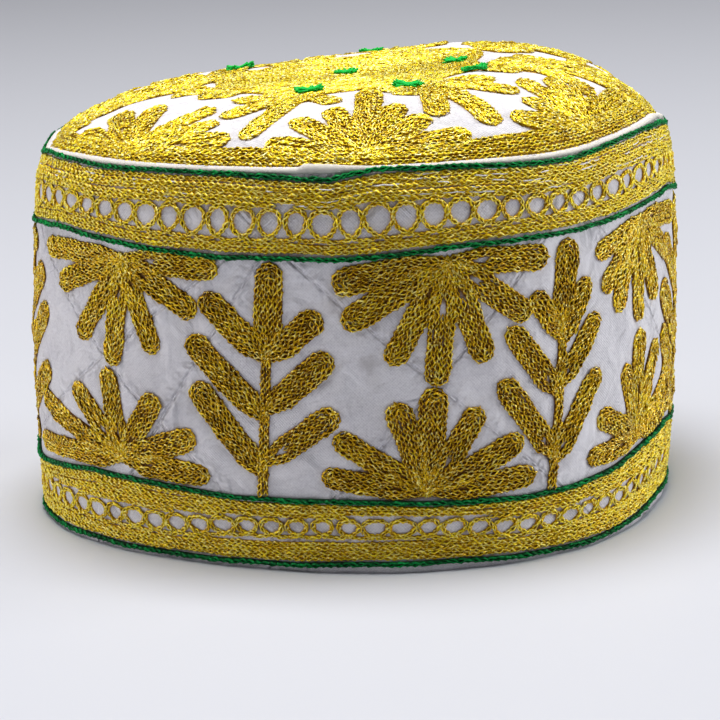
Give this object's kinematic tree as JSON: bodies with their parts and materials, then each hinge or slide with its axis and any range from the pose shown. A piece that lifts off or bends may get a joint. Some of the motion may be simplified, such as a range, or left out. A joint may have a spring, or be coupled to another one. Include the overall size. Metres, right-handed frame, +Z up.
{
  "type": "embroidered prayer cap",
  "caption": "Round prayer cap of white quilted cotton with a domed crown, a corded seam and raised bands of gold embroidery, standing on its rim.",
  "frame": {"origin": "middle of the cap's bounding box at the level of the rim it stands on", "axes": "+Z up out of the crown, +X along the cap's long width, -Y towards the long side that shows in the picture"},
  "size_m": [0.2011, 0.1708, 0.1349],
  "materials": {
    "white_cotton": "matt plain-weave cotton, quilted",
    "white_cord": "matt twisted cotton cord",
    "gold_thread": "glossy metallic chain stitch",
    "green_thread": "satin chain stitch"
  },
  "bodies": {
    "root": {"side_wall": "white_cotton", "crown": "white_cotton", "seam_cord": "white_cord", "upper_border": "gold_thread", "lower_border": "gold_thread", "crown_medallion": "gold_thread"}
  },
  "joints": []
}
